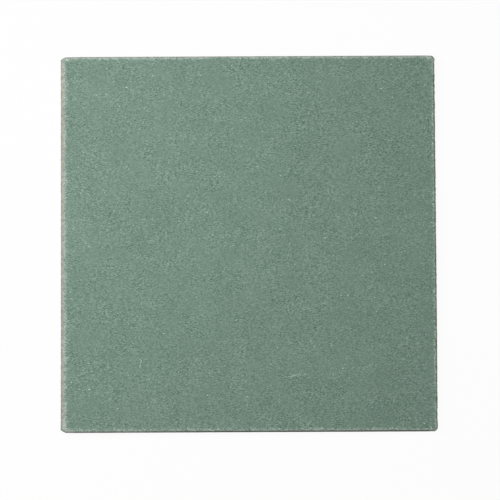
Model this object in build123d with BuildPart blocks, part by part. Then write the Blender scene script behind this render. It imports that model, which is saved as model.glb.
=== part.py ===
from build123d import *
import os

# Square cut piece of moisture-resistant drywall, lying on its back with the green face up.
# The origin is the middle of the back face, +X is the face's right, +Y its top and +Z up.
# All sizes are in millimetres.

# The sheet
sheet_width = 300.0
sheet_length = 300.0
sheet_thickness = 12.5

# The face rolls over at its four arrises: each roll's reach in from the edge and drop down it
left_roll_reach = 4.8
left_roll_drop = 2.6
right_roll_reach = 2.8
right_roll_drop = 1.8
top_roll_reach = 2.2
top_roll_drop = 1.4
bottom_roll_reach = 3.2
bottom_roll_drop = 2.2

# The corners are knocked off: what each one lacks across the sheet and along it
left_corner_across = 4.2
left_corner_along = 2.2
right_corner_across = 2.2
right_corner_along = 2.3


def rolled_section(plane, span, low_reach, low_drop, high_reach, high_drop):
    """Section over one span of the sheet: flat back, square edges and a face rolled over at both ends."""
    low_end = -span / 2
    high_end = span / 2
    low_arris = (low_end, sheet_thickness - low_drop)
    low_face = (low_end + low_reach, sheet_thickness)
    high_face = (high_end - high_reach, sheet_thickness)
    high_arris = (high_end, sheet_thickness - high_drop)
    with BuildSketch(plane) as section:
        with BuildLine():
            Polyline(low_arris, (low_end, 0), (high_end, 0), high_arris)
            TangentArc(high_face, high_arris, tangent=(1, 0))
            Line(low_face, high_face)
            TangentArc(low_face, low_arris, tangent=(-1, 0))
        make_face()
    return section.sketch


def cut_outline():
    """Plan of the sheet, with its four corners knocked off."""
    right = sheet_width / 2
    left = -right
    top = sheet_length / 2
    bottom = -top
    with BuildSketch() as outline:
        with BuildLine():
            Polyline(
                (left, bottom + left_corner_along),
                (left + left_corner_across, bottom),
                (right - right_corner_across, bottom),
                (right, bottom + right_corner_along),
                (right, top - right_corner_along),
                (right - right_corner_across, top),
                (left + left_corner_across, top),
                (left, top - left_corner_along),
                close=True,
            )
        make_face()
    return outline.sketch


# The sheet is what its two sections and its outline have in common.
across_section = rolled_section(
    Plane.XZ, sheet_width, left_roll_reach, left_roll_drop, right_roll_reach, right_roll_drop
)
along_section = rolled_section(
    Plane.YZ, sheet_length, bottom_roll_reach, bottom_roll_drop, top_roll_reach, top_roll_drop
)
with BuildPart() as drywall_sheet:
    extrude(across_section, amount=sheet_length / 2, both=True)
    extrude(along_section, amount=sheet_width / 2, both=True, mode=Mode.INTERSECT)
    extrude(cut_outline(), amount=sheet_thickness, mode=Mode.INTERSECT)
drywall_sheet.part.label = "drywall_sheet"

os.makedirs("parts", exist_ok=True)
export_step(drywall_sheet.part, "parts/drywall_sheet.step")
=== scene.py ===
"""Looks of a square cut piece of moisture-resistant drywall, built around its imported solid."""

import math

import bpy
import numpy as np
from mathutils import Euler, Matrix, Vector, noise
from mathutils.bvhtree import BVHTree


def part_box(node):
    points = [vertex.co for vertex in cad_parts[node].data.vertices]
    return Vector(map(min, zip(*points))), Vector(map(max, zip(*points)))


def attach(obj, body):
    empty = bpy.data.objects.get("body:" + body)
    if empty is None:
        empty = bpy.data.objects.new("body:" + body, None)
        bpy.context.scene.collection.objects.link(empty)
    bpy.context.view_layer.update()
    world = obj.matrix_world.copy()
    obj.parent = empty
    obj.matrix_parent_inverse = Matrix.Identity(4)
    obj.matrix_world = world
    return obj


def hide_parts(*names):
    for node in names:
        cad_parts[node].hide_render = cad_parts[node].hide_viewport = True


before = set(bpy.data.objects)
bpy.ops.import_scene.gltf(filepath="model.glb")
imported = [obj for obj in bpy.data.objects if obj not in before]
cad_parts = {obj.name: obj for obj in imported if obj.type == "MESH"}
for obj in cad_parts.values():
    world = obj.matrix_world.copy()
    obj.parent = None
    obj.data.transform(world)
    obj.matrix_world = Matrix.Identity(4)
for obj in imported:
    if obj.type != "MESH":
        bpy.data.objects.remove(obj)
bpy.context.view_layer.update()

MM = 0.001
NODE = "drywall_sheet"
SIDES = ("bottom", "right", "top", "left")
low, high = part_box(NODE)
thickness = high.z - low.z

# Seeds of the random draws
SHEET_SEED = 11
FLECK_SEED = 23
FRINGE_SEED = 37

# Camera: it looks down on the sheet, tipped so that the bottom edge is a little nearer
IMAGE_SIDE = 500
CAMERA_SENSOR = 36.0
CAMERA_LENS = 85.0
CAMERA_PLACE = Vector((1.05, -32.88, 951.4)) * MM
CAMERA_TURN = Euler((math.radians(1.684), 0.0, math.radians(-0.261)), "ZYX")

# Flecks that stand out: x and y as pixels of the photograph, and a length in millimetres
FLECKS = (
    (89.5, 389.5, 1.90),
    (117.5, 408.5, 1.40),
    (381.5, 88.5, 1.50),
    (126.5, 87.4, 1.45),
    (106.5, 94.6, 1.15),
    (394.5, 401.5, 1.15),
    (75.5, 98.7, 1.05),
    (391.5, 64.2, 1.20),
    (71.5, 382.4, 1.15),
    (423.3, 364.5, 1.00),
    (424.6, 423.5, 1.40),
    (416.5, 420.5, 1.00),
    (392.6, 428.0, 1.60),
    (432.3, 166.4, 1.00),
    (423.3, 195.5, 0.90),
    (432.6, 203.8, 1.00),
    (431.9, 222.5, 1.20),
    (93.8, 429.6, 1.50),
    (66.8, 428.6, 1.50),
    (66.3, 430.7, 1.30),
    (431.8, 428.2, 1.50),
    (433.4, 247.0, 1.20),
    (295.5, 145.6, 1.00),
    (273.3, 94.0, 1.10),
    (434.4, 276.8, 1.10),
    (432.4, 278.3, 0.95),
)

# Scuffs: the pixels of the photograph that each one runs through
SCUFFS = (
    ((285.2, 376.6), (286.2, 376.6), (287.2, 376.5)),
    ((288.0, 376.7), (290.0, 376.5), (292.7, 376.4), (295.0, 376.1)),
    ((291.5, 375.5), (293.5, 375.3), (295.5, 375.2), (297.5, 374.7), (299.6, 374.5)),
    ((299.6, 374.6), (299.5, 373.4), (299.7, 372.2)),
    ((300.2, 375.2), (301.6, 375.2)),
    ((304.1, 374.3), (305.0, 374.7), (305.9, 375.5)),
    ((139.4, 359.3), (140.6, 359.8), (141.5, 360.8), (141.3, 362.0)),
    ((140.6, 362.4), (140.5, 363.6), (140.5, 365.0), (140.3, 366.2)),
    ((139.8, 365.6), (139.9, 367.0), (140.2, 368.6)),
    ((433.9, 191.4), (433.4, 192.4), (432.6, 193.4), (432.0, 194.6)),
)

# Colours, as linear red, green and blue
GREEN = (0.1737, 0.2627, 0.2077)
PALE = (0.405, 0.468, 0.412)
TAN = (0.28, 0.288, 0.235)
TAN_PALE = (0.39, 0.405, 0.34)
GYPSUM = (0.66, 0.65, 0.61)
GYPSUM_DULL = (0.50, 0.49, 0.445)
# Painted shade inside the core's pores
PORE_SHADE = (0.24, 0.23, 0.20)
# Painted shade along the arrises, in their notches and along the top of the walls
SHADE_COLOUR = (0.088, 0.094, 0.081)
FLECK = (0.56, 0.72, 0.62)
KRAFT = (0.34, 0.29, 0.22)
KRAFT_PALE = (0.55, 0.50, 0.42)


def measure_arrises():
    """Reach and drop of each rolled arris, and the cut corners' ends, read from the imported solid."""
    touch = 0.01 * MM
    points = np.array([v.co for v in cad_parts[NODE].data.vertices])
    face = points[points[:, 2] > high.z - touch]
    walls = {
        "bottom": points[points[:, 1] < low.y + touch],
        "right": points[points[:, 0] > high.x - touch],
        "top": points[points[:, 1] > high.y - touch],
        "left": points[points[:, 0] < low.x + touch],
    }
    reach = {
        "bottom": face[:, 1].min() - low.y,
        "right": high.x - face[:, 0].max(),
        "top": high.y - face[:, 1].max(),
        "left": face[:, 0].min() - low.x,
    }
    drop = {side: high.z - wall[:, 2].max() for side, wall in walls.items()}
    ends = {
        "bottom": ((walls["bottom"][:, 0].min(), low.y), (walls["bottom"][:, 0].max(), low.y)),
        "right": ((high.x, walls["right"][:, 1].min()), (high.x, walls["right"][:, 1].max())),
        "top": ((walls["top"][:, 0].max(), high.y), (walls["top"][:, 0].min(), high.y)),
        "left": ((low.x, walls["left"][:, 1].max()), (low.x, walls["left"][:, 1].min())),
    }
    return reach, drop, ends


REACH, DROP, ENDS = measure_arrises()

# Each side's start corner, the way along it, the way in from it and its length
SIDE_AXES = {
    "bottom": (Vector((low.x, low.y)), Vector((1.0, 0.0)), Vector((0.0, 1.0)), high.x - low.x),
    "right": (Vector((high.x, low.y)), Vector((0.0, 1.0)), Vector((-1.0, 0.0)), high.y - low.y),
    "top": (Vector((high.x, high.y)), Vector((-1.0, 0.0)), Vector((0.0, -1.0)), high.x - low.x),
    "left": (Vector((low.x, high.y)), Vector((0.0, -1.0)), Vector((1.0, 0.0)), high.y - low.y),
}


def new_object(name, data):
    """Links a new object that holds the data."""
    made = bpy.data.objects.new(name, data)
    bpy.context.scene.collection.objects.link(made)
    return made


def set_values(mesh, name, values):
    """Gives each point of a mesh a named value, for its material to read."""
    values = np.asarray(values, np.float32)
    mesh.attributes.new(name, "FLOAT", "POINT").data.foreach_set("value", values)


# Bake map: the map that the looks are baked through

BAKE_MAP = "OFBake"


def corner_points(mesh):
    """Number of the point at each corner of a mesh's faces."""
    found = np.empty(len(mesh.loops), np.int32)
    mesh.loops.foreach_get("vertex_index", found)
    return found


def set_bake_map(mesh, places):
    """Gives a mesh its bake map, with a place for each corner of its faces."""
    mesh.uv_layers.new(name=BAKE_MAP).data.foreach_set("uv", places.astype(np.float32).ravel())


# Node trees

PORE_CHANCES = (0.45, 0.95)
PORE_RADIUS_SHARE = 0.24
PORE_RIM_SHARE = 0.10


class Tree:
    """Short way to write a node tree."""

    def __init__(self, owner):
        owner.use_nodes = True
        self.tree = owner.node_tree
        self.tree.nodes.clear()

    def add(self, kind, inputs, **settings):
        """Adds a node and gives its inputs a link or a constant each."""
        made = self.tree.nodes.new("ShaderNode" + kind)
        for key, value in settings.items():
            setattr(made, key, value)
        for key, value in inputs.items():
            if isinstance(value, bpy.types.NodeSocket):
                self.tree.links.new(value, made.inputs[key])
            else:
                made.inputs[key].default_value = value
        return made

    def math(self, operation, first, second=0.0):
        return self.add("Math", {0: first, 1: second}, operation=operation).outputs[0]

    def total(self, *values):
        """Sum of values."""
        result = values[0]
        for value in values[1:]:
            result = self.math("ADD", result, value)
        return result

    def weigh(self, first, second, share):
        """A share of the first value, and the rest of the second."""
        weighed = [self.math("MULTIPLY", first, share), self.math("MULTIPLY", second, 1.0 - share)]
        return self.math("ADD", *weighed)

    def mix(self, share, first, second):
        """Mix of two colours."""
        colours = [c if isinstance(c, bpy.types.NodeSocket) else (*c, 1.0) for c in (first, second)]
        inputs = {0: share, 6: colours[0], 7: colours[1]}
        return self.add("Mix", inputs, data_type="RGBA", clamp_factor=True).outputs[2]

    def smooth(self, value, start, end):
        """Smooth step from 0 at start to 1 at end."""
        inputs = {"Value": value, "From Min": start, "From Max": end}
        return self.add("MapRange", inputs, interpolation_type="SMOOTHSTEP").outputs[0]

    def spread(self, value, low_end, high_end):
        """Straight spread of a value from 0 to 1 over a range."""
        inputs = {"Value": value, "To Min": low_end, "To Max": high_end}
        return self.add("MapRange", inputs).outputs[0]

    def attribute(self, name):
        return self.add("Attribute", {}, attribute_name=name).outputs["Fac"]

    def places(self):
        return self.add("TexCoord", {}).outputs["Object"]

    def grain(self, places, size, stretch=(1.0, 1.0, 1.0), turn=0.0, detail=1.0, shift=0.0):
        """Noise from 0 to 1 with lumps of a size in metres, stretched along axes turned in the plan."""
        lengths = [size * s for s in stretch]
        inputs = {
            "Vector": places,
            "Location": [-shift * length for length in lengths],
            "Rotation": (0.0, 0.0, math.radians(turn)),
            "Scale": lengths,
        }
        mapped = self.add("Mapping", inputs, vector_type="TEXTURE").outputs[0]
        inputs = {"Vector": mapped, "Scale": 1.0, "Detail": detail}
        return self.add("TexNoise", inputs).outputs[0]

    def pores(self, places, gap):
        """Round pores from 0 to 1, that gap in metres apart, each of its own size and some left out."""
        cells = self.add("TexVoronoi", {"Vector": places, "Scale": 1.0 / gap})
        chance = self.smooth(cells.outputs["Color"], *PORE_CHANCES)
        radius = self.math("MULTIPLY", chance, PORE_RADIUS_SHARE)
        depth = self.math("SUBTRACT", radius, cells.outputs["Distance"])
        return self.smooth(depth, 0.0, PORE_RIM_SHARE)


# Each noise layer's shift, in lumps, so that no two layers line up
LAYER_SHIFTS = {
    "strands": 3.7,
    "areas": 29.0,
    "clouds": 11.0,
    "bits": 7.0,
    "patches": 5.0,
    "scores": 3.0,
    "back_flecks": 21.0,
}

# Paper grain: mottle under a millimetre, drawn-out strands, calmer and rougher areas, and faint clouds
MOTTLE_SIZE = 0.70 * MM
MOTTLE_STRETCH = (2.2, 1.0, 1.0)
MOTTLE_SHIFT = 0.036
MOTTLE_GAIN = 0.84
MOTTLE_HEIGHT_SHARE = 0.6
STRAND_SIZE = 0.24 * MM
STRAND_STRETCH = (7.0, 1.0, 1.0)
STRAND_TURNS = (6.0, 48.0, 118.0)
STRAND_MEAN = 0.58
STRAND_GAIN = 0.62
AREA_SIZE = 17.0 * MM
AREA_GAINS = (0.2, 1.8)
CLOUD_SIZE = 20.0 * MM
CLOUD_GAIN = 0.10
MID_TONE = 0.5
TONE_BEND = 1.45
TONE_DEPTH = 0.8
TONE_GREYING = 0.5

# Surfaces
SPECULAR_LEVEL = 0.25
LINER_BUMP = 0.09 * MM
FACE_ROUGHNESS = (0.80, 0.95)
CORE_BUMP = 0.35 * MM
CORE_ROUGHNESS = (0.85, 0.97)
BACK_ROUGHNESS = (0.78, 0.93)
FIBRE_BUMP = 0.03 * MM
FIBRE_ROUGHNESS = (0.75, 0.92)


def paper_grain(t, places):
    """Tone of felted paper, about its middle, and its relief from 0 to 1."""
    mottle = t.grain(places, MOTTLE_SIZE, stretch=MOTTLE_STRETCH, detail=1.5, shift=MOTTLE_SHIFT)
    strands = None
    for number, turn in enumerate(STRAND_TURNS):
        shift = LAYER_SHIFTS["strands"] * number
        layer = t.grain(places, STRAND_SIZE, stretch=STRAND_STRETCH, turn=turn, shift=shift)
        strands = layer if strands is None else t.math("MAXIMUM", strands, layer)
    felt = t.math(
        "ADD",
        t.spread(mottle, -MOTTLE_GAIN / 2, MOTTLE_GAIN / 2),
        t.spread(strands, -STRAND_GAIN * STRAND_MEAN, STRAND_GAIN * (1.0 - STRAND_MEAN)),
    )
    areas = t.spread(t.grain(places, AREA_SIZE, shift=LAYER_SHIFTS["areas"]), *AREA_GAINS)
    clouds = t.grain(places, CLOUD_SIZE, detail=4.0, shift=LAYER_SHIFTS["clouds"])
    clouds = t.spread(clouds, -CLOUD_GAIN / 2, CLOUD_GAIN / 2)
    even = t.total(MID_TONE, t.math("MULTIPLY", felt, areas), clouds)
    bent = t.math("POWER", t.math("MULTIPLY", even, 1.0 / MID_TONE), TONE_BEND)
    tone = t.math("MULTIPLY", MID_TONE, bent)
    height = t.weigh(mottle, strands, MOTTLE_HEIGHT_SHARE)
    return tone, height


def toned(t, tone, colour, depth=TONE_DEPTH):
    """A colour that the tone takes from dark to pale, both a little greyer than itself."""
    grey = sum(colour) / len(colour)
    steps = [depth * ((1.0 - TONE_GREYING) * c + TONE_GREYING * grey) for c in colour]
    dark = tuple(max(c - s, 0.0) for c, s in zip(colour, steps))
    light = tuple(c + s for c, s in zip(colour, steps))
    return t.mix(tone, dark, light)


def finish_surface(t, colour, height, bump, roughness):
    """A matt surface with the colour, a bump of that many metres and less roughness where it is high."""
    normal = t.add("Bump", {"Strength": 1.0, "Distance": bump, "Height": height}).outputs[0]
    least, most = roughness
    inputs = {
        "Base Color": colour,
        "Roughness": t.spread(height, most, least),
        "Specular IOR Level": SPECULAR_LEVEL,
        "Normal": normal,
    }
    surface = t.add("BsdfPrincipled", inputs).outputs[0]
    t.add("OutputMaterial", {"Surface": surface})


# Face liner: the bits and patches that its wear comes in, and how far they sway the wear's edges
WEAR_BIT_SIZE = 0.9 * MM
WEAR_PATCH_SIZE = 2.2 * MM
WEAR_PATCH_STRETCH = (1.2, 1.0, 1.0)
SCUFF_PATCH_SWAY = 0.9
SCUFF_BIT_SWAY = 1.8
SCUFF_STEP = (0.55, 1.30)
SCUFF_DEPTH = 0.4
TORN_SOFTNESS = 0.08
TORN_BIT_SWAY = 0.25
TAN_STEP = (0.3, 0.7)
TAN_DEPTH = 0.5
# Patches and bits that break up the painted shade along the arrises
SHADE_PATCHES = (0.4, 1.6)
SHADE_BITS = (0.3, 1.7)


def face_material():
    """Green liner: felted grain, scuffed pale towards the arrises, worn to the tan ply on them, and with
    painted shade along them and in their notches.
    """
    material = bpy.data.materials.new("face_liner")
    t = Tree(material)
    places = t.places()
    tone, height = paper_grain(t, places)
    green = toned(t, tone, GREEN)
    pale = toned(t, tone, PALE, SCUFF_DEPTH)
    bits = t.grain(places, WEAR_BIT_SIZE, detail=2.0, shift=LAYER_SHIFTS["bits"])
    patch_shift = LAYER_SHIFTS["patches"]
    patches = t.grain(places, WEAR_PATCH_SIZE, stretch=WEAR_PATCH_STRETCH, detail=2.0, shift=patch_shift)
    paler = t.smooth(patches, *TAN_STEP)
    tan = t.mix(paler, toned(t, tone, TAN, TAN_DEPTH), toned(t, tone, TAN_PALE, TAN_DEPTH))
    patch_sway = t.spread(patches, -SCUFF_PATCH_SWAY, SCUFF_PATCH_SWAY)
    bit_sway = t.spread(bits, -SCUFF_BIT_SWAY, SCUFF_BIT_SWAY)
    ragged = t.math("ADD", patch_sway, bit_sway)
    scuff = t.smooth(t.math("ADD", t.attribute("fray"), ragged), *SCUFF_STEP)
    scuffed = t.mix(scuff, green, pale)
    edge = t.math("ADD", t.attribute("worn_line"), t.spread(bits, -TORN_BIT_SWAY, TORN_BIT_SWAY))
    worn = t.math("SUBTRACT", 1.0, t.smooth(edge, -TORN_SOFTNESS, TORN_SOFTNESS))
    colour = t.mix(worn, scuffed, tan)
    # Painted shade along the arrises and in their notches, broken into blotches
    blotches = t.math("MULTIPLY", t.spread(patches, *SHADE_PATCHES), t.spread(bits, *SHADE_BITS))
    shade_share = t.math("MULTIPLY", t.attribute("grime"), blotches)
    colour = t.mix(shade_share, colour, SHADE_COLOUR)
    finish_surface(t, colour, height, LINER_BUMP, FACE_ROUGHNESS)
    return material


# Gypsum core: chalky lumps, scratches along the cut, pores darkened with painted shade, and painted shade
# along the top of the walls
CHALK_SIZE = 3.2 * MM
CHALK_TONE_SHARE = 0.65
CHALK_HEIGHT_SHARE = 0.6
CHALK_STEP = (0.32, 0.68)
SCORE_SIZE = 0.5 * MM
SCORE_STRETCH = (14.0, 14.0, 1.0)
PORE_GAPS = (1.9 * MM, 0.8 * MM)
# How far the pores are darkened with painted shade
PORE_SHADE_SHARE = 0.55
PORE_DEPTH = 0.8
# Share of the painted shade that reaches the top of the walls, under the arris
CORE_SHADE_SHARE = 0.35


def core_material():
    """Raw gypsum of the cut edges: chalky, with pores of all sizes darkened by painted shade, scratches
    left by the cut, and painted shade along the top under the arris.
    """
    material = bpy.data.materials.new("gypsum_core")
    t = Tree(material)
    places = t.places()
    chalk = t.grain(places, CHALK_SIZE, detail=5.0)
    pores = t.math("MAXIMUM", *[t.pores(places, gap) for gap in PORE_GAPS])
    scores = t.grain(places, SCORE_SIZE, stretch=SCORE_STRETCH, detail=2.0, shift=LAYER_SHIFTS["scores"])
    cloudy = t.weigh(chalk, scores, CHALK_TONE_SHARE)
    colour = t.mix(t.smooth(cloudy, *CHALK_STEP), GYPSUM_DULL, GYPSUM)
    # Pores darkened with painted shade
    colour = t.mix(t.math("MULTIPLY", pores, PORE_SHADE_SHARE), colour, PORE_SHADE)
    # Painted shade along the top of the walls, under the arris
    colour = t.mix(t.math("MULTIPLY", t.attribute("grime"), CORE_SHADE_SHARE), colour, SHADE_COLOUR)
    height = t.weigh(chalk, scores, CHALK_HEIGHT_SHARE)
    height = t.math("SUBTRACT", height, t.math("MULTIPLY", pores, PORE_DEPTH))
    finish_surface(t, colour, height, CORE_BUMP, CORE_ROUGHNESS)
    return material


# Back liner: depth of its tone, and its flecks
KRAFT_DEPTH = 0.6
BACK_FLECK_SIZE = 0.7 * MM
BACK_FLECK_STRETCH = (2.5, 1.0, 1.0)
BACK_FLECK_STEP = (0.64, 0.74)
BACK_FLECK_SHARE = 0.6


def back_material():
    """Grey-brown back liner, with pale flecks of recycled fibre."""
    material = bpy.data.materials.new("back_liner")
    t = Tree(material)
    places = t.places()
    tone, height = paper_grain(t, places)
    kraft = toned(t, tone, KRAFT, KRAFT_DEPTH)
    flecks = t.grain(places, BACK_FLECK_SIZE, stretch=BACK_FLECK_STRETCH, shift=LAYER_SHIFTS["back_flecks"])
    share = t.math("MULTIPLY", t.smooth(flecks, *BACK_FLECK_STEP), BACK_FLECK_SHARE)
    colour = t.mix(share, kraft, KRAFT_PALE)
    finish_surface(t, colour, height, LINER_BUMP, BACK_ROUGHNESS)
    return material


# Loose crumbs and fibres: their own grain
FIBRE_GRAIN_SIZE = 0.3 * MM
FIBRE_GRAIN_STRETCH = (3.0, 1.0, 1.0)
FIBRE_DEPTH = 0.3


def bit_material():
    """Loose crumbs and fibres: from the face's green to pale, as each one's paleness says."""
    material = bpy.data.materials.new("pale_fibre")
    t = Tree(material)
    places = t.places()
    grain = t.grain(places, FIBRE_GRAIN_SIZE, stretch=FIBRE_GRAIN_STRETCH, detail=2.0)
    colour = t.mix(t.attribute("paleness"), GREEN, toned(t, grain, FLECK, FIBRE_DEPTH))
    finish_surface(t, colour, grain, FIBRE_BUMP, FIBRE_ROUGHNESS)
    return material


# Sheet mesh

FACE_SLOT, CORE_SLOT, BACK_SLOT = range(3)

# Face: its grid, how far it lies under the CAD's face, and its relief
FACE_CELLS = 200
FACE_SINK = 0.10 * MM
FACE_WAVE = 0.03 * MM
WAVE_SIZE = 38.0 * MM
RIPPLE_SIZE = WAVE_SIZE / 4
RIPPLE_SHARE = 0.5
FACE_LUMP = 0.015 * MM
LUMP_SIZE = 3.2 * MM

# Edge: its columns along each side, and those that a cut corner or a blend between two sides takes up
EDGE_SPLIT = 2
EDGE_CELLS = FACE_CELLS * EDGE_SPLIT
CORNER_CELLS = 4
CORNER_FULLNESS_SHARE = 0.15
BLEND_CELLS = 12

# Edge: its rows from the face's margin over the roll, down the wall and round to the back
MARGIN = 8.0 * MM
MARGIN_SHARES = (0.3, 0.55, 0.75, 0.9, 1.0)
ROLL_ROWS = 10
WALL_ROWS = 9
BACK_LINER = 0.5 * MM
BACK_EASE = 0.4 * MM
BACK_EASE_ROWS = 3
BACK_RING = 4.0 * MM
BACK_STEP = 8

# Sways along the edge: a share up and down, and the size of its lumps
REACH_SWAYS = ((0.14, 23.0 * MM), (0.12, 4.2 * MM))
DROP_SWAYS = ((0.12, 7.0 * MM),)
# Sway of the painted shade along the edge
SHADE_SWAYS = ((0.5, 9.0 * MM),)
FRAY_REACH_SWAYS = ((0.45, 3.4 * MM), (0.2, 11.0 * MM))
FRAY_LEVEL_SWAYS = ((0.25, 14.0 * MM),)

# Cut: its roughness in millimetres, with stops along a side where it changes, and the core's relief
CUT_ROUGHNESS_MM = {
    "bottom": 0.10,
    "right": (1.5, 0.65, 0.6, 0.75, 0.95, 1.5),
    "top": 0.10,
    "left": 0.62,
}
PIT_SIZES = (2.6 * MM, 1.3 * MM)
CORE_RELIEF = 0.30 * MM
CORE_LUMP = 2.1 * MM

# Notches that the cut left along the arrises, and the painted shade in them
NOTCH_GAPS = (1.6 * MM, 7.6 * MM)
NOTCH_WIDTHS = (0.4 * MM, 1.3 * MM)
NOTCH_STRENGTHS = (0.2, 1.0)
NOTCH_DEPTH = 0.25 * MM
NOTCH_RISE = (-0.1, 0.1)
NOTCH_FADE = (0.15, 0.5)
NOTCH_SHADE = {"bottom": 0.5, "right": 0.75, "top": 0.5, "left": 0.5}
# Painted shade along each side's arris: its strength at each end of the side, how far in it reaches, and
# where it fades
SHADE_ENDS = {"bottom": (0.40, 1.45), "right": (0.0, 0.05), "top": (0.10, 0.05), "left": (0.0, 0.0)}
SHADE_REACH = {"bottom": 1.7 * MM, "right": 2.6 * MM, "top": 0.9 * MM, "left": 1.3 * MM}
SHADE_FADE = (0.45, 1.0)

# Share of each arris that is worn through to the tan ply, and the step and ragged edge of the tear
WORN_SHARES = {
    "bottom": 0.22,
    "right": (0.25, 0.50),
    "top": 0.14,
    "left": (0.70, 0.66, 0.63, 0.60, 0.56),
}
WORN_TEETH = 0.75 * MM
TOOTH_SIZE = 4.6 * MM
WORN_TATTERS = 0.20
TATTER_SIZE = 1.7 * MM
PLY_STEP = 0.14 * MM
PLY_RISE = (0.0, 0.15)

# Paper frayed pale inside the worn strip: how far in, and how pale
FRAY_REACH = {"bottom": 4.4 * MM, "right": 4.2 * MM, "top": 3.6 * MM, "left": 8.0 * MM}
FRAY_LEVELS = {"bottom": 1.12, "right": 1.05, "top": 1.15, "left": (0.82, 0.90, 0.98, 1.06, 1.20)}
FRAY_FADE = (0.35, 1.0)

# The corners are rubbed paler, with less painted shade: the columns on either side that this takes, and how
# far
RUBBED_CELLS = (5, 13)
RUBBED_ENDS = {"bottom": (1.2, 0.8), "right": (0.9, 0.7), "top": (1.6, 1.0), "left": (0.3, 1.1)}
RUBBED_FRAY = 0.55
RUBBED_WORN_SHARE = 0.5

# Stretches of the bake map for the face, the back and the walls, and the bare pads round what they hold
FACE_CHART = (0.0, 0.60)
BACK_CHART = (0.60, 0.83)
WALL_CHART = (0.83, 1.0)
CHART_PAD = 2.5 * MM
STRIP_PAD_SHARE = 0.06


def around(corner_cells, stops, corners):
    """Values at every column round the sheet: each side's stops spread evenly along it, corners between."""
    columns = []
    steps = np.arange(EDGE_CELLS)
    for number, values in enumerate(stops):
        knots = np.linspace(corner_cells, EDGE_CELLS - corner_cells, len(values))
        after = corners[(number + 1) % len(SIDES)]
        columns.append(np.interp(steps, (0, *knots, EDGE_CELLS), (corners[number], *values, after)))
    return np.concatenate(columns)


def outline_columns():
    """Plan of the cut edge, one point a column, with the corners knocked off and slightly rounded."""
    true_corners = np.array([(low.x, low.y), (high.x, low.y), (high.x, high.y), (low.x, high.y)])
    ends = np.array([ENDS[side] for side in SIDES])
    middles = (np.roll(ends[:, 1], 1, axis=0) + ends[:, 0]) / 2
    middles += (true_corners - middles) * CORNER_FULLNESS_SHARE
    return np.stack([around(CORNER_CELLS, ends[:, :, k], middles[:, k]) for k in range(2)], axis=1)


def rim_columns():
    """Plan of the inner square that the edge's rows start from, one point a column."""
    left, right = low.x + MARGIN, high.x - MARGIN
    bottom, top = low.y + MARGIN, high.y - MARGIN
    corners = np.array([(left, bottom), (right, bottom), (right, top), (left, top)])
    steps = np.arange(EDGE_CELLS)[:, None] / EDGE_CELLS
    return np.concatenate([a + (b - a) * steps for a, b in zip(corners, np.roll(corners, -1, axis=0))])


def side_columns(sizes):
    """A size of each side, or stops along it, at every column, blended round the corners."""
    stops = []
    for side in SIDES:
        size = sizes[side]
        stops.append(size if isinstance(size, tuple) else (size, size))
    corners = [(stops[number - 1][-1] + stops[number][0]) / 2 for number in range(len(SIDES))]
    return around(BLEND_CELLS, stops, corners)


def smooth_step(values, start, end):
    """Smooth step of an array from 0 at start to 1 at end."""
    share = np.clip((values - start) / (end - start), 0.0, 1.0)
    return share * share * (3 - 2 * share)


def rubbed_columns():
    """How far each column is rubbed: most at the corners, not at all along the sides."""
    steps = np.tile(np.arange(EDGE_CELLS), len(SIDES))
    close = 1.0 - smooth_step(np.minimum(steps, EDGE_CELLS - steps), *RUBBED_CELLS)
    return close * side_columns(RUBBED_ENDS)


def noise_at(points, size):
    """Smooth noise from -1 to 1 at each point, with lumps of that size."""
    return np.array([noise.noise(Vector(p) / size) for p in points])


def lumps_at(points, size):
    """Smooth noise from 0 to 1 at each point, with lumps of that size."""
    return 0.5 + 0.5 * noise_at(points, size)


def sway_at(points, sways):
    """Factor about 1 at each point, that each sway takes up and down."""
    factor = np.ones(len(points))
    for share, size in sways:
        factor += share * noise_at(points, size)
    return factor


def relief(points):
    """Unevenness of the paper at each point: faint waves, and lumps of its felting."""
    waves = noise_at(points, WAVE_SIZE) + RIPPLE_SHARE * noise_at(points, RIPPLE_SIZE)
    return FACE_WAVE * waves / (1.0 + RIPPLE_SHARE) + FACE_LUMP * noise_at(points, LUMP_SIZE)


def notch_columns(outer, rng):
    """Depth from 0 to 1 of the notches at every column, each at a place of its own along the edge."""
    steps = np.linalg.norm(np.roll(outer, -1, axis=0) - outer, axis=1)
    along = np.concatenate([[0.0], np.cumsum(steps)[:-1]])
    depth = np.zeros(len(outer))
    place = rng.uniform(*NOTCH_GAPS)
    while place < along[-1]:
        width = rng.uniform(*NOTCH_WIDTHS)
        depth += rng.uniform(*NOTCH_STRENGTHS) * np.exp(-(((along - place) / width) ** 2))
        place += rng.uniform(*NOTCH_GAPS)
    left_start = SIDES.index("left") * EDGE_CELLS
    for column in (left_start + CORNER_CELLS, left_start + EDGE_CELLS - CORNER_CELLS):
        depth += np.exp(-(((along - along[column]) / np.mean(NOTCH_WIDTHS)) ** 2))
    return np.minimum(depth, 1.0)


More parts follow.
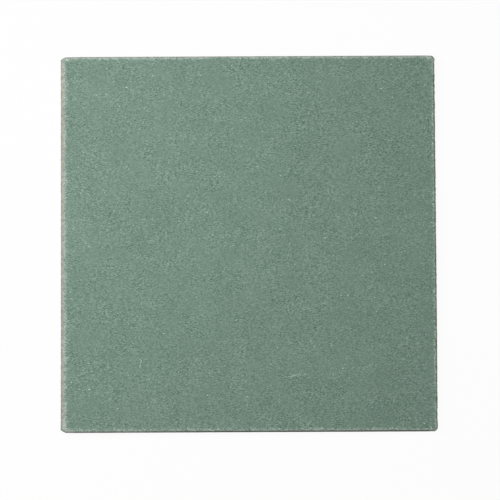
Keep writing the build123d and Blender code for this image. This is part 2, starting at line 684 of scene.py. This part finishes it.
def edge_columns(outer, rng):
    """What changes from column to column along the edge: its roll, cut, notches, painted shade, wear and
    fray.
    """
    seats = np.column_stack([outer, np.zeros(len(outer))])
    rubbed = rubbed_columns()
    notches = notch_columns(outer, rng)
    reach = side_columns(REACH) * sway_at(seats, REACH_SWAYS)
    # Painted shade along the arrises, less where the corners are rubbed, and more in the notches
    grime = side_columns(SHADE_ENDS) * sway_at(seats, SHADE_SWAYS) * (1.0 - rubbed)
    grime += side_columns(NOTCH_SHADE) * notches
    fray_level = side_columns(FRAY_LEVELS) * sway_at(seats, FRAY_LEVEL_SWAYS)
    return {
        "reach": reach,
        "drop": side_columns(DROP) * sway_at(seats, DROP_SWAYS),
        "roughness": side_columns(CUT_ROUGHNESS_MM) * MM,
        "notches": notches,
        "grime": np.clip(grime, 0.0, 1.0),
        "painted_shade_reach": side_columns(SHADE_REACH),
        "worn": side_columns(WORN_SHARES) * (1.0 - RUBBED_WORN_SHARE * rubbed),
        "teeth": WORN_TEETH * noise_at(seats, TOOTH_SIZE) / reach,
        "fray_level": fray_level + RUBBED_FRAY * rubbed,
        "fray_reach": side_columns(FRAY_REACH) * sway_at(seats, FRAY_REACH_SWAYS),
    }


def edge_rows(reach, drop):
    """Rows of the edge, face to back: inset from the outline, depth, slot and the inset when unrolled."""
    zeros = np.zeros(len(reach))
    rows = []
    for share in MARGIN_SHARES:
        inset = MARGIN + (reach - MARGIN) * share
        rows.append((inset, zeros + FACE_SINK, FACE_SLOT, inset))
    radius = (reach**2 + drop**2) / (2 * drop)
    end_angle = 2 * np.arctan2(drop, reach)
    for step in range(1, ROLL_ROWS + 1):
        angle = end_angle * step / ROLL_ROWS
        sunk = FACE_SINK + (drop - FACE_SINK) / drop * radius * (1 - np.cos(angle))
        rows.append((reach - radius * np.sin(angle), sunk, FACE_SLOT, reach - radius * angle))
    wall_end = thickness - BACK_LINER
    liner_start = BACK_EASE - BACK_EASE * math.pi / 2
    for step in range(1, WALL_ROWS + 1):
        sunk = drop + (wall_end - drop) * step / WALL_ROWS
        rows.append((zeros, sunk, CORE_SLOT, zeros + (liner_start - (BACK_LINER - BACK_EASE))))
    for step in range(1, BACK_EASE_ROWS + 1):
        angle = math.pi / 2 * step / BACK_EASE_ROWS
        inset = BACK_EASE * (1 - math.cos(angle))
        sunk = thickness - BACK_EASE + BACK_EASE * math.sin(angle)
        rows.append((zeros + inset, zeros + sunk, BACK_SLOT, zeros + (liner_start + BACK_EASE * angle)))
    ring = zeros + BACK_RING
    rows.append((ring, zeros + thickness, BACK_SLOT, ring))
    return rows


def pits_at(points, roughness, slot):
    """How far in the cut goes at each point: its own pits, and the core's relief on the walls."""
    depth = roughness * sum(lumps_at(points, size) for size in PIT_SIZES) / len(PIT_SIZES)
    if slot == CORE_SLOT:
        depth = depth + CORE_RELIEF * lumps_at(points, CORE_LUMP)
    return depth


def edge_rings(rng):
    """Rings of points over the edge, with each ring's slot, unrolled plan, and wear and painted shade at
    every column.
    """
    outer = outline_columns()
    across = rim_columns() - outer
    inward = across / np.linalg.norm(across, axis=1)[:, None]
    edge = edge_columns(outer, rng)
    first_cut = len(MARGIN_SHARES)
    first_wall = first_cut + ROLL_ROWS
    last_cut = first_wall + WALL_ROWS
    rings = []
    for number, (inset, sunk, slot, flat_inset) in enumerate(edge_rows(edge["reach"], edge["drop"])):
        flat = outer + across * (flat_inset / MARGIN)[:, None]
        points = np.column_stack([outer + across * (inset / MARGIN)[:, None], high.z - sunk])
        share = inset / edge["reach"]
        line = share - edge["worn"] + edge["teeth"] + WORN_TATTERS * noise_at(points, TATTER_SIZE)
        if number < first_cut:
            points[:, 2] += relief(points)
        elif number < last_cut:
            fade = min(1.0, (number - first_cut + 1) / ROLL_ROWS)
            points[:, :2] += inward * pits_at(points, fade * edge["roughness"], slot)[:, None]
        # Painted shade over the roll, fading inwards, and along the top of the wall
        edge_shade = np.zeros(len(outer))
        if slot == FACE_SLOT:
            torn = (1.0 - smooth_step(line, -TORN_SOFTNESS, TORN_SOFTNESS)) * smooth_step(share, *PLY_RISE)
            bite = edge["notches"] * (1.0 - smooth_step(share, *NOTCH_FADE))
            bite *= smooth_step(share, *NOTCH_RISE)
            points[:, 2] -= PLY_STEP * torn + NOTCH_DEPTH * bite
            edge_shade = edge["grime"] * (1.0 - smooth_step(inset / edge["painted_shade_reach"], *SHADE_FADE))
        elif number == first_wall:
            edge_shade = edge["grime"]
        fray = edge["fray_level"] * (1.0 - smooth_step(inset / edge["fray_reach"], *FRAY_FADE))
        ring = {"points": points, "flat": flat, "slot": slot}
        ring.update({"fray": fray, "worn_line": line, "grime": edge_shade})
        rings.append(ring)
    return rings


def grid(cells, height):
    """Square grid inside the margin: its points, their numbers by row, and its rim's numbers in order."""
    xs, ys = np.meshgrid(
        np.linspace(low.x + MARGIN, high.x - MARGIN, cells + 1),
        np.linspace(low.y + MARGIN, high.y - MARGIN, cells + 1),
    )
    points = np.stack([xs.ravel(), ys.ravel(), np.full(xs.size, height)], axis=1)
    index = np.arange(xs.size).reshape(cells + 1, cells + 1)
    rim = np.concatenate([index[0, :-1], index[:-1, -1], index[-1, :0:-1], index[:0:-1, 0]])
    return points, index, rim


def grid_quads(index):
    """Faces of a grid, facing up."""
    corners = [index[:-1, :-1], index[:-1, 1:], index[1:, 1:], index[1:, :-1]]
    return np.stack(corners, axis=-1).reshape(-1, len(corners))


def fan_faces(rim, ring, split):
    """Triangles from a coarse rim out to a ring with some columns for each of its cells."""
    faces = []
    half = split // 2
    for cell in range(len(rim)):
        here, there = rim[cell], rim[(cell + 1) % len(rim)]
        for step in range(split):
            column = cell * split + step
            near = here if step < half else there
            faces.append([near, ring[column], ring[(column + 1) % len(ring)]])
            if step == half - 1:
                faces.append([here, ring[column + 1], there])
    return faces


def plan_chart(plan, chart):
    """Places on the bake map of plan points: the sheet's plan, padded, on one stretch of the map."""
    start, end = chart
    corner = np.array([low.x, low.y]) - CHART_PAD
    size = np.array([high.x - low.x, high.y - low.y]) + 2 * CHART_PAD
    share = (plan - corner) / size
    return np.column_stack([start + (end - start) * share[:, 0], share[:, 1]])


def wall_chart(quads, columns, sunk):
    """Places on the bake map of the walls' corners: a strip for each side, along it and down it."""
    start, end = WALL_CHART
    side, step = np.divmod(columns[:, None], EDGE_CELLS)
    along = (step + np.array([0, 0, 1, 1])) / EDGE_CELLS
    down = STRIP_PAD_SHARE + (1 - 2 * STRIP_PAD_SHARE) * sunk[quads] / thickness
    across = start + (end - start) * (side + down) / len(SIDES)
    return np.stack([across, along], axis=-1).reshape(-1, 2)


def band_faces(previous, here):
    """Faces between two rings of the edge."""
    return np.stack([previous, here, np.roll(here, -1), np.roll(previous, -1)], axis=1).tolist()


def set_wear(mesh, rings, face_count, back_count):
    """Gives the sheet's points the edge's wear and painted shade: none on the back, and a face that is far
    from worn and unshaded.
    """
    face_wear = {"fray": 0.0, "worn_line": MARGIN / min(REACH.values()), "grime": 0.0}
    for name, wear in face_wear.items():
        values = [np.full(face_count, wear), *[ring[name] for ring in rings], np.zeros(back_count)]
        set_values(mesh, name, np.concatenate(values))


def sheet_layout(corners, slots, flat, sunk, first_ring):
    """Place on the bake map of each corner of the sheet's faces, by the slot of its face."""
    face_places = plan_chart(flat, FACE_CHART)[corners]
    back_places = plan_chart(flat, BACK_CHART)[corners]
    layout = np.where((slots == FACE_SLOT)[:, None], face_places, back_places)
    quads = corners[slots == CORE_SLOT].reshape(-1, 4)
    columns = (quads[:, 0] - first_ring) % (len(SIDES) * EDGE_CELLS)
    layout[slots == CORE_SLOT] = wall_chart(quads, columns, sunk)
    return layout


def sheet_mesh():
    """The sheet as one closed mesh: face grid, rolled arrises, cut walls and back."""
    face, face_index, face_rim = grid(FACE_CELLS, high.z - FACE_SINK)
    face[:, 2] += relief(face)
    rings = edge_rings(np.random.default_rng(SHEET_SEED))
    back, back_index, back_rim = grid(FACE_CELLS // BACK_STEP, low.z)
    columns = np.arange(len(SIDES) * EDGE_CELLS)
    ring_starts = len(face) + len(columns) * np.arange(len(rings))
    back_start = len(face) + len(columns) * len(rings)
    verts = np.concatenate([face, *[ring["points"] for ring in rings], back])
    flat = np.concatenate([face[:, :2], *[ring["flat"] for ring in rings], back[:, :2]])

    here = ring_starts[0] + columns
    faces = grid_quads(face_index).tolist() + fan_faces(face_rim, here, EDGE_SPLIT)
    slots = [FACE_SLOT] * len(faces)
    for start, ring in zip(ring_starts[1:], rings[1:]):
        previous = here
        here = start + columns
        faces += band_faces(previous, here)
        slots += [ring["slot"]] * len(columns)
    under = fan_faces(back_start + back_rim, here, EDGE_SPLIT * BACK_STEP)
    under += grid_quads(back_start + back_index).tolist()
    faces += [corners[::-1] for corners in under]
    slots += [BACK_SLOT] * len(under)

    mesh = bpy.data.meshes.new("drywall_board")
    mesh.from_pydata(verts.tolist(), [], faces)
    mesh.polygons.foreach_set("material_index", slots)
    set_wear(mesh, rings, len(face), len(back))
    corner_slots = np.repeat(slots, [len(corners) for corners in faces])
    sunk = high.z - verts[:, 2]
    set_bake_map(mesh, sheet_layout(corner_points(mesh), corner_slots, flat, sunk, ring_starts[0]))
    mesh.shade_smooth()
    for material in (face_material(), core_material(), back_material()):
        mesh.materials.append(material)
    return mesh


# Crumbs and fibres

# How far they sit in the surface and stand over it, and their shapes, as shares of their sizes
SEAT = 0.03 * MM
BIT_HEIGHT = 0.05 * MM
CRUMB_CORNERS = 8
CRUMB_RADII = (0.38, 0.60)
CRUMB_SHOULDER_SHARE = 0.7
CRUMB_SHOULDER_HEIGHT_SHARE = 0.8
FIBRE_TIP_SHARE = 0.35
CELL_PAD_SHARE = 0.12

# Flecks and scuffs of the face: the marked ones, and many faint ones. Turns are in radians.
FLECK_TURN = 0.2
FLECK_WIDTH_SHARE = 0.62
FLECK_PALENESS = 1.0
SCUFF_WIDTHS_MM = (0.65, 0.90)
SCUFF_PALENESS = (0.65, 0.85)
FAINT_FLECKS = 650
FAINT_SIZES_MM = (0.7, 1.5)
FAINT_TURN = 0.5
FAINT_WIDTH_SHARES = (0.4, 0.7)
FAINT_PALENESS = (0.35, 1.0)

# Fringe along the arrises. Insets are the least, likeliest and most, as shares of the roll's reach.
FRINGE_END = 6.0 * MM
FRINGE_FIBRES = {"bottom": 260, "right": 240, "top": 220, "left": 700}
FIBRE_INSETS = (0.15, 0.75, 1.3)
FIBRE_TURN = 0.7
FIBRE_BOW = 0.35
FIBRE_STEPS = 5
FIBRE_LEAST_STEPS = 3
FIBRE_LENGTHS_MM = (1.0, 2.6)
FIBRE_WIDTHS_MM = (0.16, 0.30)
FIBRE_PALENESS = (0.2, 0.75)
FRINGE_CRUMBS = {"bottom": 120, "right": 120, "top": 110, "left": 200}
CRUMB_INSETS = (0.45, 0.8, 1.15)
CRUMB_SIZES_MM = {"bottom": (0.8, 1.5), "right": (0.9, 1.6), "top": (0.5, 1.1), "left": (0.5, 1.1)}
CRUMB_WIDTH_SHARES = (0.45, 0.8)
CRUMB_PALENESS = {"bottom": (0.4, 0.95), "right": (0.5, 1.0), "top": (0.3, 0.8), "left": (0.3, 0.8)}


class Bits:
    """Many small closed shapes gathered into one mesh, each with a paleness of its own."""

    def __init__(self):
        self.verts = []
        self.faces = []
        self.paleness = []
        self.numbers = []
        self.charts = []
        self.count = 0

    def add(self, verts, faces, paleness, chart):
        """Adds a shape, with places from 0 to 1 for its points in its own cell of the bake map."""
        start = len(self.verts)
        self.verts.extend((v.x, v.y, min(v.z, high.z)) for v in verts)
        self.faces.extend([start + k for k in face] for face in faces)
        self.paleness.extend([paleness] * len(verts))
        self.numbers.extend([self.count] * len(verts))
        self.charts.extend(chart)
        self.count += 1

    def mound(self, place, normal, turn, length, width, paleness, rng):
        """A low crumb: a ragged ring under the surface, a smaller one above it and a top."""
        along = Vector((math.cos(turn), math.sin(turn), 0.0))
        along = (along - normal * along.dot(normal)).normalized()
        across = normal.cross(along)
        count = CRUMB_CORNERS
        ring = []
        outline = []
        for k in range(count):
            angle = 2 * math.pi * k / count
            size = rng.uniform(*CRUMB_RADII)
            x, y = math.cos(angle), math.sin(angle)
            ring.append(along * (x * length * size) + across * (y * width * size))
            outline.append(Vector((x, y)) * (size / max(CRUMB_RADII) / 2))
        shoulder = normal * (BIT_HEIGHT * CRUMB_SHOULDER_HEIGHT_SHARE)
        verts = [place + r - normal * SEAT for r in ring]
        verts += [place + r * CRUMB_SHOULDER_SHARE + shoulder for r in ring]
        verts.append(place + normal * BIT_HEIGHT)
        faces = [list(range(count))[::-1]]
        for k in range(count):
            after = (k + 1) % count
            faces.append([k, after, count + after, count + k])
            faces.append([count + k, count + after, 2 * count])
        middle = Vector((0.5, 0.5))
        chart = [middle + o for o in outline]
        chart += [middle + o * CRUMB_SHOULDER_SHARE for o in outline]
        chart.append(middle)
        self.add(verts, faces, paleness, chart)

    def strand(self, hits, width, paleness):
        """A fibre: a low ridge along places on the surface with their normals, with tapered ends."""
        last = len(hits) - 1
        verts = []
        chart = []
        for k, (place, normal) in enumerate(hits):
            ahead = hits[min(k + 1, last)][0] - hits[max(k - 1, 0)][0]
            fullness = math.sin(math.pi * (k + 0.5) / (last + 1))
            size = FIBRE_TIP_SHARE + (1.0 - FIBRE_TIP_SHARE) * fullness
            across = normal.cross(ahead).normalized() * (width * size / 2)
            seat = place - normal * SEAT
            verts += [seat - across, seat + across, place + normal * (BIT_HEIGHT * size)]
            chart += [Vector((k / last, share)) for share in (0.0, 1.0, 0.5)]
        faces = [[0, 2, 1], [3 * last, 3 * last + 1, 3 * last + 2]]
        for k in range(last):
            a, b = 3 * k, 3 * (k + 1)
            for first, second in ((0, 1), (1, 2), (2, 0)):
                faces.append([a + first, a + second, b + second, b + first])
        self.add(verts, faces, paleness, chart)

    def build(self, name, material):
        """Makes the piece that holds all the shapes, each with its own cell of the bake map."""
        mesh = bpy.data.meshes.new(name)
        mesh.from_pydata(self.verts, [], self.faces)
        set_values(mesh, "paleness", self.paleness)
        cells = math.ceil(math.sqrt(self.count))
        numbers = np.array(self.numbers)
        cell = np.stack([numbers % cells, numbers // cells], axis=1)
        spot = CELL_PAD_SHARE + (1 - 2 * CELL_PAD_SHARE) * np.array(self.charts)
        set_bake_map(mesh, ((cell + spot) / cells)[corner_points(mesh)])
        mesh.shade_smooth()
        mesh.materials.append(material)
        made = new_object(name, mesh)
        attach(made, "root")


def surface_finder(mesh):
    """Function that gives the board's surface point and normal under a plan place, None outside it."""
    tree = BVHTree.FromPolygons([v.co for v in mesh.vertices], [p.vertices for p in mesh.polygons])
    down = Vector((0.0, 0.0, -1.0))

    def find(x, y):
        place, normal, _, _ = tree.ray_cast(Vector((x, y, high.z + MM)), down)
        return place, normal

    return find


def under_pixel(x, y):
    """Place on the face that the camera shows at a pixel of the photograph."""
    spread = CAMERA_SENSOR / CAMERA_LENS / IMAGE_SIDE
    ray = Vector(((x - IMAGE_SIDE / 2) * spread, (IMAGE_SIDE / 2 - y) * spread, -1.0))
    ray.rotate(CAMERA_TURN)
    return CAMERA_PLACE + ray * ((high.z - CAMERA_PLACE.z) / ray.z)


def lay_face_bits(find, material):
    """Pale flecks and scuffs of the face: those that stand out, and many faint ones."""
    rng = np.random.default_rng(FLECK_SEED)
    bits = Bits()
    for x, y, length in FLECKS:
        at = under_pixel(x, y)
        place, normal = find(at.x, at.y)
        size = length * MM
        turn = rng.normal(0.0, FLECK_TURN)
        bits.mound(place, normal, turn, size, size * FLECK_WIDTH_SHARE, FLECK_PALENESS, rng)
    for pixels in SCUFFS:
        marks = [under_pixel(*pixel) for pixel in pixels]
        width = rng.uniform(*SCUFF_WIDTHS_MM) * MM
        paleness = rng.uniform(*SCUFF_PALENESS)
        bits.strand([find(mark.x, mark.y) for mark in marks], width, paleness)
    least, most = FAINT_SIZES_MM
    for _ in range(FAINT_FLECKS):
        x = rng.uniform(low.x + MARGIN, high.x - MARGIN)
        y = rng.uniform(low.y + MARGIN, high.y - MARGIN)
        place, normal = find(x, y)
        size = (least + (most - least) * rng.random() ** 2) * MM
        paleness = rng.uniform(*FAINT_PALENESS)
        turn = rng.normal(0.0, FAINT_TURN)
        width = size * rng.uniform(*FAINT_WIDTH_SHARES)
        bits.mound(place, normal, turn, size, width, paleness, rng)
    bits.build("paper_flecks", material)


def fringe_spot(side, insets, rng):
    """A place by chance along one rolled arris."""
    start, along_axis, in_axis, span = SIDE_AXES[side]
    along = rng.uniform(FRINGE_END, span - FRINGE_END)
    inset = REACH[side] * rng.triangular(*insets)
    return start + along_axis * along + in_axis * inset


def lay_fibre(bits, find, side, rng):
    """A frayed fibre that runs in from one arris, left out where it starts off the sheet's edge."""
    _, along_axis, in_axis, _ = SIDE_AXES[side]
    spot = fringe_spot(side, FIBRE_INSETS, rng)
    turn = rng.normal(0.0, FIBRE_TURN)
    bow = rng.normal(0.0, FIBRE_BOW)
    length = rng.uniform(*FIBRE_LENGTHS_MM) * MM
    hits = []
    for step in range(FIBRE_STEPS + 1):
        place, normal = find(spot.x, spot.y)
        if place is None:
            break
        hits.append((place, normal))
        way = turn + bow * step / FIBRE_STEPS
        spot = spot + (in_axis * math.cos(way) + along_axis * math.sin(way)) * (length / FIBRE_STEPS)
    if len(hits) > FIBRE_LEAST_STEPS:
        width = rng.uniform(*FIBRE_WIDTHS_MM) * MM
        bits.strand(hits, width, rng.uniform(*FIBRE_PALENESS))


def lay_crumb(bits, find, side, rng):
    """A crumb of gypsum or paper on one arris."""
    spot = fringe_spot(side, CRUMB_INSETS, rng)
    place, normal = find(spot.x, spot.y)
    size = rng.uniform(*CRUMB_SIZES_MM[side]) * MM
    width = size * rng.uniform(*CRUMB_WIDTH_SHARES)
    turn = rng.uniform(0.0, math.pi)
    paleness = rng.uniform(*CRUMB_PALENESS[side])
    bits.mound(place, normal, turn, size, width, paleness, rng)


def lay_fringe(find, material):
    """Frayed fibres and crumbs along the rolled arrises."""
    rng = np.random.default_rng(FRINGE_SEED)
    bits = Bits()
    for side in SIDES:
        for _ in range(FRINGE_FIBRES[side]):
            lay_fibre(bits, find, side, rng)
        for _ in range(FRINGE_CRUMBS[side]):
            lay_crumb(bits, find, side, rng)
    bits.build("edge_fibres", material)


board = new_object("drywall_board", sheet_mesh())
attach(board, "root")
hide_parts(NODE)
find_surface = surface_finder(board.data)
pale_fibre = bit_material()
lay_face_bits(find_surface, pale_fibre)
lay_fringe(find_surface, pale_fibre)


# Stage

WHITE = (1.0, 1.0, 1.0, 1.0)
FLOOR_SIDE = 6.0
FLOOR_COLOUR = (0.80, 0.80, 0.80)
FLOOR_WHITE_SHARE = 0.95
AMBIENT = 0.30
KEY_DIRECTION = Vector((-0.445, 0.228, 0.866)).normalized()
KEY_DISTANCE = 0.875
KEY_SIDE = 0.40
KEY_POWER = 5.9


def seen_ray(t):
    """1 for rays that show the background itself: from the camera, in a reflection or through glass."""
    path = t.add("LightPath", {})
    seen = t.math("MAXIMUM", path.outputs["Is Camera Ray"], path.outputs["Is Glossy Ray"])
    return t.math("MAXIMUM", seen, path.outputs["Is Transmission Ray"])


def make_floor():
    """Plain pale floor that shows white, with the sheet's soft shadow on it."""
    half = FLOOR_SIDE / 2
    mesh = bpy.data.meshes.new("floor")
    corners = [(-half, -half, low.z), (half, -half, low.z), (half, half, low.z), (-half, half, low.z)]
    mesh.from_pydata(corners, [], [(0, 1, 2, 3)])
    material = bpy.data.materials.new("floor")
    t = Tree(material)
    pale = t.add("BsdfDiffuse", {"Color": (*FLOOR_COLOUR, 1.0)}).outputs[0]
    white = t.add("Emission", {"Color": WHITE, "Strength": 1.0}).outputs[0]
    share = t.math("MULTIPLY", seen_ray(t), FLOOR_WHITE_SHARE)
    surface = t.add("MixShader", {0: share, 1: pale, 2: white}).outputs[0]
    t.add("OutputMaterial", {"Surface": surface})
    mesh.materials.append(material)
    new_object("floor", mesh)


def make_world():
    """Even soft light from all round, white where it is seen."""
    world = bpy.data.worlds.new("studio")
    bpy.context.scene.world = world
    t = Tree(world)
    even = t.add("Background", {"Color": WHITE, "Strength": AMBIENT}).outputs[0]
    seen = t.add("Background", {"Color": WHITE, "Strength": 1.0}).outputs[0]
    surface = t.add("MixShader", {0: seen_ray(t), 1: even, 2: seen}).outputs[0]
    t.add("OutputWorld", {"Surface": surface})


def make_key():
    """One large soft lamp, up and to the left of the face."""
    lamp = bpy.data.lights.new("key", "AREA")
    lamp.shape = "SQUARE"
    lamp.size = KEY_SIDE
    lamp.energy = KEY_POWER
    made = new_object("key", lamp)
    made.visible_camera = False
    made.location = KEY_DIRECTION * KEY_DISTANCE
    made.rotation_euler = (-KEY_DIRECTION).to_track_quat("-Z", "Y").to_euler()


def make_camera():
    """Camera that shows the sheet as the photograph does."""
    camera = bpy.data.cameras.new("camera")
    camera.lens = CAMERA_LENS
    camera.sensor_width = CAMERA_SENSOR
    made = new_object("camera", camera)
    made.location = CAMERA_PLACE
    made.rotation_euler = CAMERA_TURN
    bpy.context.scene.camera = made


make_floor()
make_world()
make_key()
make_camera()
bpy.context.scene.view_settings.view_transform = "Standard"
